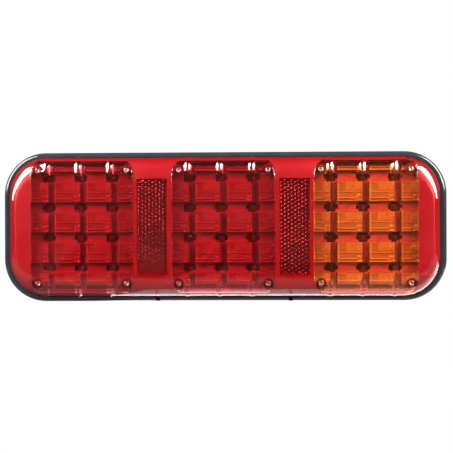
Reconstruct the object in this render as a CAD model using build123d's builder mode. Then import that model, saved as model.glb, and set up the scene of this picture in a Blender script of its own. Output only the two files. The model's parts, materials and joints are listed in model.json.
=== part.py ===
"""Trailer tail light: a lamp head with three LED modules and two retroreflectors, on a mounting base.

Frame: the origin is the centre of the back (mounting) face, X runs along the lamp, Z up, and the lamp shines
towards -Y. "Depth" below is the distance forward of the back face. Millimetres.
"""

import os
from math import cos, pi, sin

from build123d import *

# --- Driving dimensions ---------------------------------------------------------------------------
WIDTH = 284.0
HEIGHT = 95.5
DEPTH = 31.0
CORNER_R = 27.0
FIT = 0.05

# mounting base
FLOOR_T = 3.0
RIM_T = 3.0
RIM_END_T = 4.2
RIM_DEPTH = 21.0
RIM_ROUND = 2.4
RIM_GAP = 0.4
GASKET_INSET = 4.0
GASKET_W = 3.0
GASKET_T = 1.5
NOTCH_X = 42.6
NOTCH_W = 2.6
NOTCH_DEPTH = 17.0
RIB_Z = 33.0
RIB_LENGTH = 210.0
RIB_T = 1.6
RIB_TOP = 6.5

# studs that hold the lamp on the vehicle
STUD_SPACING = 152.0
STUD_R = 3.0
STUD_LENGTH = 25.0
STUD_NECK_R = 3.4
STUD_HEAD_AF = 10.0
STUD_HEAD_T = 4.0
STUD_CHAMFER = 0.6
STUD_BOSS_R = 9.0
STUD_BOSS_TOP = 8.0
SEAL_R = 5.6
SEAL_T = 1.5

# cable entry
CABLE_Z = -16.0
CABLE_R = 3.5
GROMMET_NECK_R = 5.5
GROMMET_FLANGE_R = 8.0
GROMMET_FLANGE_T = 1.3
GROMMET_BOSS_R = 10.5
GROMMET_BOSS_TOP = 5.6
GROMMET_NOSE_TOP = 9.4
GROMMET_NOSE_TAPER = 12.0
GROMMET_PLAY = 0.2

# push-fit pegs of the lamp head and their rubber bushes in the base
PEG_X = 120.0
PEG_Z = 24.0
PEG_R = 3.0
PEG_FIT = 0.08
PEG_TIP = 4.6
PEG_CHAMFER = 0.6
PEG_BOSS_R = 6.5
PEG_BOSS_TOP = 9.5
BUSH_R = 4.45
BUSH_BASE = 4.0

# four-way connector between base and head
CONNECTOR_Z = 3.0
CONTACT_PITCH = 7.0
SOCKET_L = 34.0
SOCKET_H = 12.0
SOCKET_FLOOR = 5.0
SOCKET_TOP = 9.6
SOCKET_CORNER_R = 1.5
PLUG_L = 30.0
PLUG_H = 8.0
PLUG_TIP = 5.6
CONTACT_GAP = 0.3
PIN_R = 0.92
PIN_BASE = 4.0
PIN_TOP = 8.8
PIN_CHAMFER = 0.3
SLEEVE_R = 1.7
SLEEVE_BORE = 1.0
SLEEVE_TIP = 5.8
SLEEVE_END = 9.2
SLEEVE_CAP = 9.8
TAIL_R = 0.5
TAIL_PLAY = 0.3
TAIL_PROUD = 0.8

# lamp head shell
HEAD_BACK = 10.0
HEAD_FLOOR_T = 2.0
HEAD_WALL_T = 2.5
HEAD_WALL_TOP = 14.0
SEAL_RING_T = 0.8
SEAL_RING_INSET = 0.3
LENS_T = 2.5
LENS_SEAT = 20.0
SHOULDER_DEPTH = 23.0
PLATEAU_W = 268.8
PLATEAU_H = 64.0
PLATEAU_R = 20.0
PLATEAU_R_SHARE = 0.5
SHOULDER_DROP = 0.2
SLOPE_STEPS = 5

# inner bezel, a mask right under the lens, with a foot that the lens is welded to
BEZEL_INSET = 2.7
BEZEL_T = 1.2
BEZEL_RING_TOP = 18.4
LINER_H = 82.4

# LED modules
MODULE_PITCH = 90.5
MODULE_W = 66.4
MODULE_H = 86.6
MODULE_R = 10.5
MODULE_GAP = 0.3
SCREW_X = 28.5
SCREW_Z = 36.1
SCREW_R = 1.1
SCREW_HEAD_R = 1.9
SCREW_HEAD_T = 1.6
SCREW_SEAT = 27.6
SCREW_TIP = 13.0
SCREW_HOLE_R = 1.3
SCREW_HEAD_ROUND = 0.7
PILOT_END = 12.5
CROSS_L = 2.0
CROSS_W = 0.5
CROSS_DEEP = 0.8
RECESS_R = 2.9
PILLAR_R = 3.4
PILLAR_BASE = 25.7
AMBER_BASE = 22.6
BOSS_R = 3.2
BOSS_FOOT_R = 4.0
BOARD_BACK = 15.0
BOARD_T = 1.6
BOARD_W = 62.0
BOARD_H = 77.0
BOARD_R = 5.0
BOARD_PLAY = 0.1
LED_PITCH_X = 20.4
LED_PITCH_Z = 19.4
LED_ROW_SHIFT = 2.7
LED_SHIFT = -1.8
LED_SIDE = 5.0
LED_T = 1.6
LED_LENS_R = 1.9
LED_LENS_T = 0.9
LED_LENS_ROUND = 0.7
LED_CORNER_R = 0.4
TRAY_BASE = 18.8
TRAY_PLATE_T = 1.4
TRAY_TOP = 24.0
TRAY_H = 81.8
TRAY_LAP = 1.1
TRAY_FOOT_R = 1.2
TRAY_WALL_T = 1.2
SLOT_W = 3.8
SLOT_H = 5.8
LED_SLOT_W = 9.0
LED_SLOT_H = 5.4
OPTIC_INSET = 2.9
OPTIC_T = 2.0
OPTIC_BASE = 21.0
PAD_INSET = 5.3

# retroreflectors between the modules
REFLECTOR_X = 45.4
REFLECTOR_W = 19.5
REFLECTOR_H = 61.4
REFLECTOR_GAP = 0.1
REFLECTOR_BACK = 27.0
BACKING_BACK = 24.5
BACKING_WALL = 1.0

# parts on the boards and between them
CHIP_L = 6.5
CHIP_W = 5.2
CHIP_T = 1.6
CHIP_Z = -22.0
CAPACITOR_X = 14.0
CAPACITOR_R = 3.5
CAPACITOR_T = 2.6
RESISTOR_L = 3.2
RESISTOR_W = 1.6
RESISTOR_T = 0.55
RESISTOR_PITCH_X = 8.0
RESISTOR_PITCH_Z = 4.5
RESISTOR_Z = -6.0
LINK_W = 10.0
LINK_T = 0.6
LINK_LAP = 4.0
LINK_Z = -12.0
BREATHER_X = 44.0
BREATHER_Z = -18.0
BREATHER_R = 5.0
BREATHER_T = 0.4
BREATHER_HOLE_R = 1.5

# --- Derived dimensions ---------------------------------------------------------------------------
LENS_W = WIDTH - 2 * (RIM_END_T + RIM_GAP)
LENS_H = HEIGHT - 2 * (RIM_T + RIM_GAP)
LENS_R = CORNER_R - RIM_T - RIM_GAP
BEZEL_BASE = HEAD_WALL_TOP + SEAL_RING_T
HEAD_FLOOR_TOP = HEAD_BACK + HEAD_FLOOR_T
BOARD_FRONT = BOARD_BACK + BOARD_T
OPTIC_W = MODULE_W - 2 * MODULE_GAP
TRAY_W = MODULE_W + 2 * TRAY_LAP
SIDES = {"left": -MODULE_PITCH, "centre": 0.0, "right": MODULE_PITCH}
LED_ROWS = [LED_ROW_SHIFT + LED_PITCH_Z * (row - 1.5) for row in range(4)]
LED_COLUMNS = [-LED_PITCH_X, 0.0, LED_PITCH_X]

os.makedirs("parts", exist_ok=True)


def at_depth(depth):
    """The sketch plane that faces forward at this depth: sketch x is +X and sketch y is +Z."""
    return Plane.XZ.offset(depth)


def dome(inset, base):
    """The space under the lens surface, inset on every side: a skirt, a rounded slope and a plateau."""
    wide, tall, radius = LENS_W - 2 * inset, LENS_H - 2 * inset, LENS_R - inset
    flat_w, flat_h, flat_r = PLATEAU_W - inset, PLATEAU_H - inset, PLATEAU_R - PLATEAU_R_SHARE * inset
    shoulder, top = SHOULDER_DEPTH - SHOULDER_DROP * inset, DEPTH - inset
    with BuildPart() as body:
        with BuildSketch(at_depth(base)):
            RectangleRounded(wide, tall, radius)
        extrude(amount=shoulder - base)
        for step in range(SLOPE_STEPS + 1):
            turn = 0.5 * pi * step / SLOPE_STEPS
            share = 1 - cos(turn)
            with BuildSketch(at_depth(shoulder + (top - shoulder) * sin(turn))):
                RectangleRounded(
                    wide + (flat_w - wide) * share,
                    tall + (flat_h - tall) * share,
                    radius + (flat_r - radius) * share,
                )
        loft(ruled=True)
    return body.part


def finish(piece, label):
    """Names a finished piece and writes its STEP file."""
    piece.part.label = label
    export_step(piece.part, f"parts/{label}.step")


# --- Mounting base and what stays on the vehicle with it ------------------------------------------
with BuildPart() as mounting_base:
    with BuildSketch(at_depth(0)):
        RectangleRounded(WIDTH, HEIGHT, CORNER_R)
    extrude(amount=RIM_DEPTH)
    with BuildSketch(at_depth(FLOOR_T)):
        RectangleRounded(WIDTH - 2 * RIM_END_T, HEIGHT - 2 * RIM_T, CORNER_R - RIM_T)
    extrude(amount=RIM_DEPTH, mode=Mode.SUBTRACT)
    # the rim's outer front edge is rounded over
    fillet(mounting_base.faces().sort_by(Axis.Y)[0].outer_wire().edges(), RIM_ROUND)
    # bosses for the studs, the cable grommet and the peg bushes, and two ribs
    with BuildSketch(at_depth(FLOOR_T)):
        with Locations((-STUD_SPACING / 2, 0), (STUD_SPACING / 2, 0)):
            Circle(STUD_BOSS_R)
    extrude(amount=STUD_BOSS_TOP - FLOOR_T)
    with BuildSketch(at_depth(FLOOR_T)):
        with Locations((0, CABLE_Z)):
            Circle(GROMMET_BOSS_R)
    extrude(amount=GROMMET_BOSS_TOP - FLOOR_T)
    with BuildSketch(at_depth(FLOOR_T)):
        with GridLocations(2 * PEG_X, 2 * PEG_Z, 2, 2):
            Circle(PEG_BOSS_R)
    extrude(amount=PEG_BOSS_TOP - FLOOR_T)
    with BuildSketch(at_depth(FLOOR_T)):
        with Locations((0, RIB_Z), (0, -RIB_Z)):
            Rectangle(RIB_LENGTH, RIB_T)
    extrude(amount=RIB_TOP - FLOOR_T)
    # stud bores with hexagonal pockets in front and seal recesses behind
    with BuildSketch(at_depth(0)):
        with Locations((-STUD_SPACING / 2, 0), (STUD_SPACING / 2, 0)):
            Circle(STUD_NECK_R + FIT)
    extrude(amount=STUD_BOSS_TOP, mode=Mode.SUBTRACT)
    with BuildSketch(at_depth(STUD_BOSS_TOP - STUD_HEAD_T)):
        with Locations((-STUD_SPACING / 2, 0), (STUD_SPACING / 2, 0)):
            RegularPolygon(STUD_HEAD_AF / 2 + FIT, 6, major_radius=False)
    extrude(amount=STUD_HEAD_T, mode=Mode.SUBTRACT)
    with BuildSketch(at_depth(0)):
        with Locations((-STUD_SPACING / 2, 0), (STUD_SPACING / 2, 0)):
            Circle(SEAL_R)
    extrude(amount=SEAL_T, mode=Mode.SUBTRACT)
    # the cable grommet's hole and recess
    with BuildSketch(at_depth(0)):
        with Locations((0, CABLE_Z)):
            Circle(GROMMET_NECK_R)
    extrude(amount=GROMMET_BOSS_TOP, mode=Mode.SUBTRACT)
    with BuildSketch(at_depth(0)):
        with Locations((0, CABLE_Z)):
            Circle(GROMMET_FLANGE_R + GROMMET_PLAY)
    extrude(amount=GROMMET_FLANGE_T + GROMMET_PLAY, mode=Mode.SUBTRACT)
    # blind holes for the peg bushes
    with BuildSketch(at_depth(BUSH_BASE)):
        with GridLocations(2 * PEG_X, 2 * PEG_Z, 2, 2):
            Circle(BUSH_R + FIT)
    extrude(amount=PEG_BOSS_TOP, mode=Mode.SUBTRACT)
    # the gasket's groove runs round the back face
    with BuildSketch(at_depth(0)):
        RectangleRounded(WIDTH - 2 * GASKET_INSET, HEIGHT - 2 * GASKET_INSET, CORNER_R - GASKET_INSET)
        offset(amount=-GASKET_W, mode=Mode.SUBTRACT)
    extrude(amount=GASKET_T, mode=Mode.SUBTRACT)
    # two release notches in the lower rim, where a blade prises the head off
    with BuildSketch(at_depth(NOTCH_DEPTH)):
        with Locations((-NOTCH_X, -HEIGHT / 2), (NOTCH_X, -HEIGHT / 2)):
            Rectangle(NOTCH_W, 2 * RIM_T + 2 * RIM_GAP)
    extrude(amount=RIM_DEPTH, mode=Mode.SUBTRACT)
finish(mounting_base, "mounting_base")

with BuildPart() as base_gasket:
    with BuildSketch(at_depth(0)):
        RectangleRounded(WIDTH - 2 * GASKET_INSET, HEIGHT - 2 * GASKET_INSET, CORNER_R - GASKET_INSET)
        offset(amount=-GASKET_W, mode=Mode.SUBTRACT)
    extrude(amount=GASKET_T)
finish(base_gasket, "base_gasket")

with BuildPart() as mounting_studs:
    with BuildSketch(at_depth(STUD_BOSS_TOP)):
        with Locations((-STUD_SPACING / 2, 0), (STUD_SPACING / 2, 0)):
            RegularPolygon(STUD_HEAD_AF / 2, 6, major_radius=False)
    extrude(amount=-STUD_HEAD_T)
    with BuildSketch(at_depth(0)):
        with Locations((-STUD_SPACING / 2, 0), (STUD_SPACING / 2, 0)):
            Circle(STUD_NECK_R)
    extrude(amount=STUD_BOSS_TOP - STUD_HEAD_T)
    with BuildSketch(at_depth(-STUD_LENGTH)):
        with Locations((-STUD_SPACING / 2, 0), (STUD_SPACING / 2, 0)):
            Circle(STUD_R)
    extrude(amount=STUD_LENGTH)
    chamfer(mounting_studs.faces().sort_by(Axis.Y)[-2:].edges(), STUD_CHAMFER)
finish(mounting_studs, "mounting_studs")

with BuildPart() as stud_seals:
    with BuildSketch(at_depth(0)):
        with Locations((-STUD_SPACING / 2, 0), (STUD_SPACING / 2, 0)):
            Circle(SEAL_R)
            Circle(STUD_NECK_R, mode=Mode.SUBTRACT)
    extrude(amount=SEAL_T)
finish(stud_seals, "stud_seals")

with BuildPart() as cable_grommet:
    with BuildSketch(at_depth(GROMMET_PLAY)):
        with Locations((0, CABLE_Z)):
            Circle(GROMMET_FLANGE_R)
    extrude(amount=GROMMET_FLANGE_T)
    with BuildSketch(at_depth(GROMMET_PLAY + GROMMET_FLANGE_T)):
        with Locations((0, CABLE_Z)):
            Circle(GROMMET_NECK_R)
    extrude(amount=GROMMET_BOSS_TOP - GROMMET_PLAY - GROMMET_FLANGE_T)
    with BuildSketch(at_depth(GROMMET_BOSS_TOP)):
        with Locations((0, CABLE_Z)):
            Circle(GROMMET_FLANGE_R)
    extrude(amount=GROMMET_FLANGE_T)
    with BuildSketch(at_depth(GROMMET_BOSS_TOP + GROMMET_FLANGE_T)):
        with Locations((0, CABLE_Z)):
            Circle(GROMMET_NECK_R)
    extrude(amount=GROMMET_NOSE_TOP - GROMMET_BOSS_TOP - GROMMET_FLANGE_T, taper=GROMMET_NOSE_TAPER)
    with BuildSketch(at_depth(0)):
        with Locations((0, CABLE_Z)):
            Circle(CABLE_R)
    extrude(amount=RIM_DEPTH, mode=Mode.SUBTRACT)
finish(cable_grommet, "cable_grommet")

with BuildPart() as socket_block:
    with BuildSketch(at_depth(FLOOR_T)):
        with Locations((0, CONNECTOR_Z)):
            RectangleRounded(SOCKET_L, SOCKET_H, SOCKET_CORNER_R)
    extrude(amount=SOCKET_TOP - FLOOR_T)
    with BuildSketch(at_depth(SOCKET_FLOOR)):
        with Locations((0, CONNECTOR_Z)):
            Rectangle(PLUG_L + 2 * CONTACT_GAP, PLUG_H + 2 * CONTACT_GAP)
    extrude(amount=SOCKET_TOP, mode=Mode.SUBTRACT)
    with BuildSketch(at_depth(PIN_BASE)):
        with Locations((0, CONNECTOR_Z)):
            with GridLocations(CONTACT_PITCH, 0, 4, 1):
                Circle(PIN_R + FIT)
    extrude(amount=SOCKET_TOP, mode=Mode.SUBTRACT)
finish(socket_block, "socket_block")

with BuildPart() as socket_pins:
    with BuildSketch(at_depth(PIN_BASE)):
        with Locations((0, CONNECTOR_Z)):
            with GridLocations(CONTACT_PITCH, 0, 4, 1):
                Circle(PIN_R)
    extrude(amount=PIN_TOP - PIN_BASE)
    chamfer(socket_pins.faces().sort_by(Axis.Y)[:4].edges(), PIN_CHAMFER)
finish(socket_pins, "socket_pins")

with BuildPart() as peg_bushes:
    with BuildSketch(at_depth(BUSH_BASE)):
        with GridLocations(2 * PEG_X, 2 * PEG_Z, 2, 2):
            Circle(BUSH_R)
            Circle(PEG_R + PEG_FIT, mode=Mode.SUBTRACT)
    extrude(amount=PEG_BOSS_TOP - BUSH_BASE)
finish(peg_bushes, "peg_bushes")

# --- Lamp head: housing, seal and connector -------------------------------------------------------
with BuildPart() as lamp_housing:
    with BuildSketch(at_depth(HEAD_BACK)):
        RectangleRounded(LENS_W, LENS_H, LENS_R)
    extrude(amount=HEAD_WALL_TOP - HEAD_BACK)
    with BuildSketch(at_depth(HEAD_FLOOR_TOP)):
        RectangleRounded(LENS_W - 2 * HEAD_WALL_T, LENS_H - 2 * HEAD_WALL_T, LENS_R - HEAD_WALL_T)
    extrude(amount=HEAD_WALL_TOP, mode=Mode.SUBTRACT)
    # the four push-fit pegs on the back
    with BuildSketch(at_depth(PEG_TIP)):
        with GridLocations(2 * PEG_X, 2 * PEG_Z, 2, 2):
            Circle(PEG_R)
    extrude(amount=HEAD_BACK - PEG_TIP)
    chamfer(lamp_housing.faces().sort_by(Axis.Y)[-4:].edges(), PEG_CHAMFER)
    # stepped bosses carry each board's corners and take the lens screws
    for side_x in SIDES.values():
        with BuildSketch(at_depth(HEAD_FLOOR_TOP)):
            with Locations((side_x, 0)):
                with GridLocations(2 * SCREW_X, 2 * SCREW_Z, 2, 2):
                    Circle(BOSS_FOOT_R)
        extrude(amount=BOARD_BACK - HEAD_FLOOR_TOP)
        with BuildSketch(at_depth(BOARD_BACK)):
            with Locations((side_x, 0)):
                with GridLocations(2 * SCREW_X, 2 * SCREW_Z, 2, 2):
                    Circle(BOSS_R)
        extrude(amount=TRAY_BASE - BOARD_BACK)
        with BuildSketch(at_depth(PILOT_END)):
            with Locations((side_x, 0)):
                with GridLocations(2 * SCREW_X, 2 * SCREW_Z, 2, 2):
                    Circle(SCREW_R + FIT)
        extrude(amount=TRAY_BASE, mode=Mode.SUBTRACT)
    # holes in the floor for the connector's tails and the breather
    with BuildSketch(at_depth(HEAD_BACK)):
        with Locations((0, CONNECTOR_Z)):
            with GridLocations(CONTACT_PITCH, 0, 4, 1):
                Circle(TAIL_R + TAIL_PLAY)
        with Locations((BREATHER_X, BREATHER_Z)):
            Circle(BREATHER_HOLE_R)
    extrude(amount=HEAD_FLOOR_T, mode=Mode.SUBTRACT)
finish(lamp_housing, "lamp_housing")

with BuildPart() as lens_seal:
    with BuildSketch(at_depth(HEAD_WALL_TOP)):
        RectangleRounded(
            LENS_W - 2 * SEAL_RING_INSET,
            LENS_H - 2 * SEAL_RING_INSET,
            LENS_R - SEAL_RING_INSET,
        )
        offset(amount=2 * SEAL_RING_INSET - HEAD_WALL_T, mode=Mode.SUBTRACT)
    extrude(amount=SEAL_RING_T)
finish(lens_seal, "lens_seal")

with BuildPart() as plug_block:
    with BuildSketch(at_depth(PLUG_TIP)):
        with Locations((0, CONNECTOR_Z)):
            Rectangle(PLUG_L, PLUG_H)
            with GridLocations(CONTACT_PITCH, 0, 4, 1):
                Circle(SLEEVE_R + FIT, mode=Mode.SUBTRACT)
    extrude(amount=HEAD_BACK - PLUG_TIP)
finish(plug_block, "plug_block")

with BuildPart() as plug_sleeves:
    with BuildSketch(at_depth(SLEEVE_TIP)):
        with Locations((0, CONNECTOR_Z)):
            with GridLocations(CONTACT_PITCH, 0, 4, 1):
                Circle(SLEEVE_R)
                Circle(SLEEVE_BORE, mode=Mode.SUBTRACT)
    extrude(amount=SLEEVE_END - SLEEVE_TIP)
    with BuildSketch(at_depth(SLEEVE_END)):
        with Locations((0, CONNECTOR_Z)):
            with GridLocations(CONTACT_PITCH, 0, 4, 1):
                Circle(SLEEVE_R)
    extrude(amount=SLEEVE_CAP - SLEEVE_END)
    with BuildSketch(at_depth(SLEEVE_CAP)):
        with Locations((0, CONNECTOR_Z)):
            with GridLocations(CONTACT_PITCH, 0, 4, 1):
                Circle(TAIL_R)
    extrude(amount=BOARD_FRONT + TAIL_PROUD - SLEEVE_CAP)
finish(plug_sleeves, "plug_sleeves")

with BuildPart() as breather_membrane:
    with BuildSketch(at_depth(HEAD_BACK)):
        with Locations((BREATHER_X, BREATHER_Z)):
            Circle(BREATHER_R)
    extrude(amount=-BREATHER_T)
finish(breather_membrane, "breather_membrane")

# --- Lamp head: lens, bezel and retroreflectors ---------------------------------------------------
lens_outside = dome(0.0, LENS_SEAT)
lens_inside = dome(LENS_T, LENS_SEAT)

with BuildPart() as red_lens:
    add(lens_outside)
    add(lens_inside, mode=Mode.SUBTRACT)
    # windows for the amber lens and the two retroreflectors
    with BuildSketch(at_depth(AMBER_BASE)):
        with Locations((MODULE_PITCH, 0)):
            RectangleRounded(MODULE_W, MODULE_H, MODULE_R)
    extrude(amount=DEPTH, mode=Mode.SUBTRACT)
    with BuildSketch(at_depth(PILLAR_BASE)):
        with Locations((MODULE_PITCH, 0)):
            with GridLocations(2 * SCREW_X, 2 * SCREW_Z, 2, 2):
                Circle(PILLAR_R)
    extrude(amount=SCREW_SEAT - PILLAR_BASE, mode=Mode.SUBTRACT)
    with BuildSketch(at_depth(PILLAR_BASE)):
        with Locations((-REFLECTOR_X, 0), (REFLECTOR_X, 0)):
            Rectangle(REFLECTOR_W, REFLECTOR_H)
    extrude(amount=DEPTH, mode=Mode.SUBTRACT)
    # screw pillars of the two red modules, recessed from the front
    for side_x in (SIDES["left"], SIDES["centre"]):
        with BuildSketch(at_depth(PILLAR_BASE)):
            with Locations((side_x, 0)):
                with GridLocations(2 * SCREW_X, 2 * SCREW_Z, 2, 2):
                    Circle(PILLAR_R)
        extrude(amount=SCREW_SEAT - PILLAR_BASE)
        with BuildSketch(at_depth(PILLAR_BASE)):
            with Locations((side_x, 0)):
                with GridLocations(2 * SCREW_X, 2 * SCREW_Z, 2, 2):
                    Circle(SCREW_HOLE_R)
        extrude(amount=DEPTH, mode=Mode.SUBTRACT)
        with BuildSketch(at_depth(SCREW_SEAT)):
            with Locations((side_x, 0)):
                with GridLocations(2 * SCREW_X, 2 * SCREW_Z, 2, 2):
                    Circle(RECESS_R)
        extrude(amount=DEPTH, mode=Mode.SUBTRACT)
finish(red_lens, "red_lens")

with BuildPart() as amber_lens:
    add(lens_outside)
    add(lens_inside, mode=Mode.SUBTRACT)
    with BuildSketch(at_depth(AMBER_BASE)):
        with Locations((MODULE_PITCH, 0)):
            RectangleRounded(MODULE_W, MODULE_H, MODULE_R)
    extrude(amount=DEPTH, mode=Mode.INTERSECT)
    with BuildSketch(at_depth(PILLAR_BASE)):
        with Locations((MODULE_PITCH, 0)):
            with GridLocations(2 * SCREW_X, 2 * SCREW_Z, 2, 2):
                Circle(PILLAR_R)
    extrude(amount=SCREW_SEAT - PILLAR_BASE)
    with BuildSketch(at_depth(PILLAR_BASE)):
        with Locations((MODULE_PITCH, 0)):
            with GridLocations(2 * SCREW_X, 2 * SCREW_Z, 2, 2):
                Circle(SCREW_HOLE_R)
    extrude(amount=DEPTH, mode=Mode.SUBTRACT)
    with BuildSketch(at_depth(SCREW_SEAT)):
        with Locations((MODULE_PITCH, 0)):
            with GridLocations(2 * SCREW_X, 2 * SCREW_Z, 2, 2):
                Circle(RECESS_R)
    extrude(amount=DEPTH, mode=Mode.SUBTRACT)
finish(amber_lens, "amber_lens")

bezel_outside = dome(BEZEL_INSET, BEZEL_BASE)
bezel_inside = dome(BEZEL_INSET + BEZEL_T, BEZEL_BASE)

with BuildPart() as inner_bezel:
    with BuildSketch(at_depth(BEZEL_BASE)):
        RectangleRounded(LENS_W, LENS_H, LENS_R)
    extrude(amount=LENS_SEAT - BEZEL_BASE)
    add(bezel_outside)
    add(bezel_inside, mode=Mode.SUBTRACT)
    # the openings leave a band of bezel under the lens's upper and lower edges
    with BuildSketch(at_depth(BEZEL_RING_TOP)):
        with GridLocations(MODULE_PITCH, 0, 3, 1):
            RectangleRounded(MODULE_W, MODULE_H, MODULE_R)
        Rectangle(LENS_W, LINER_H, mode=Mode.INTERSECT)
    extrude(amount=DEPTH, mode=Mode.SUBTRACT)
    with BuildSketch(at_depth(BEZEL_RING_TOP)):
        with Locations((-REFLECTOR_X, 0), (REFLECTOR_X, 0)):
            Rectangle(REFLECTOR_W, REFLECTOR_H)
    extrude(amount=DEPTH, mode=Mode.SUBTRACT)
    # the trays' screw posts reach past the rounded corners of the openings
    with BuildSketch(at_depth(BEZEL_BASE)):
        with GridLocations(MODULE_PITCH, 0, 3, 1):
            with GridLocations(2 * SCREW_X, 2 * SCREW_Z, 2, 2):
                Circle(PILLAR_R + MODULE_GAP)
    extrude(amount=DEPTH, mode=Mode.SUBTRACT)
finish(inner_bezel, "inner_bezel")

for side, reflector_x in (("left", -REFLECTOR_X), ("right", REFLECTOR_X)):
    with BuildPart() as reflex_reflector:
        with BuildSketch(at_depth(REFLECTOR_BACK)):
            with Locations((reflector_x, 0)):
                Rectangle(REFLECTOR_W - 2 * REFLECTOR_GAP, REFLECTOR_H - 2 * REFLECTOR_GAP)
        extrude(amount=DEPTH - REFLECTOR_BACK)
    finish(reflex_reflector, f"reflex_reflector_{side}")

    with BuildPart() as reflector_backing:
        with BuildSketch(at_depth(BACKING_BACK)):
            with Locations((reflector_x, 0)):
                Rectangle(REFLECTOR_W - 2 * REFLECTOR_GAP, REFLECTOR_H - 2 * REFLECTOR_GAP)
        extrude(amount=REFLECTOR_BACK - BACKING_BACK)
        with BuildSketch(at_depth(BACKING_BACK + BACKING_WALL)):
            with Locations((reflector_x, 0)):
                Rectangle(
                    REFLECTOR_W - 2 * REFLECTOR_GAP - 2 * BACKING_WALL,
                    REFLECTOR_H - 2 * REFLECTOR_GAP - 2 * BACKING_WALL,
                )
        extrude(amount=REFLECTOR_BACK, mode=Mode.SUBTRACT)
    finish(reflector_backing, f"reflector_backing_{side}")

# --- Lamp head: the three LED modules -------------------------------------------------------------
optic_outside = dome(OPTIC_INSET, OPTIC_BASE)
optic_inside = dome(OPTIC_INSET + OPTIC_T, OPTIC_BASE)
pad_limit = dome(PAD_INSET, TRAY_BASE)

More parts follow.
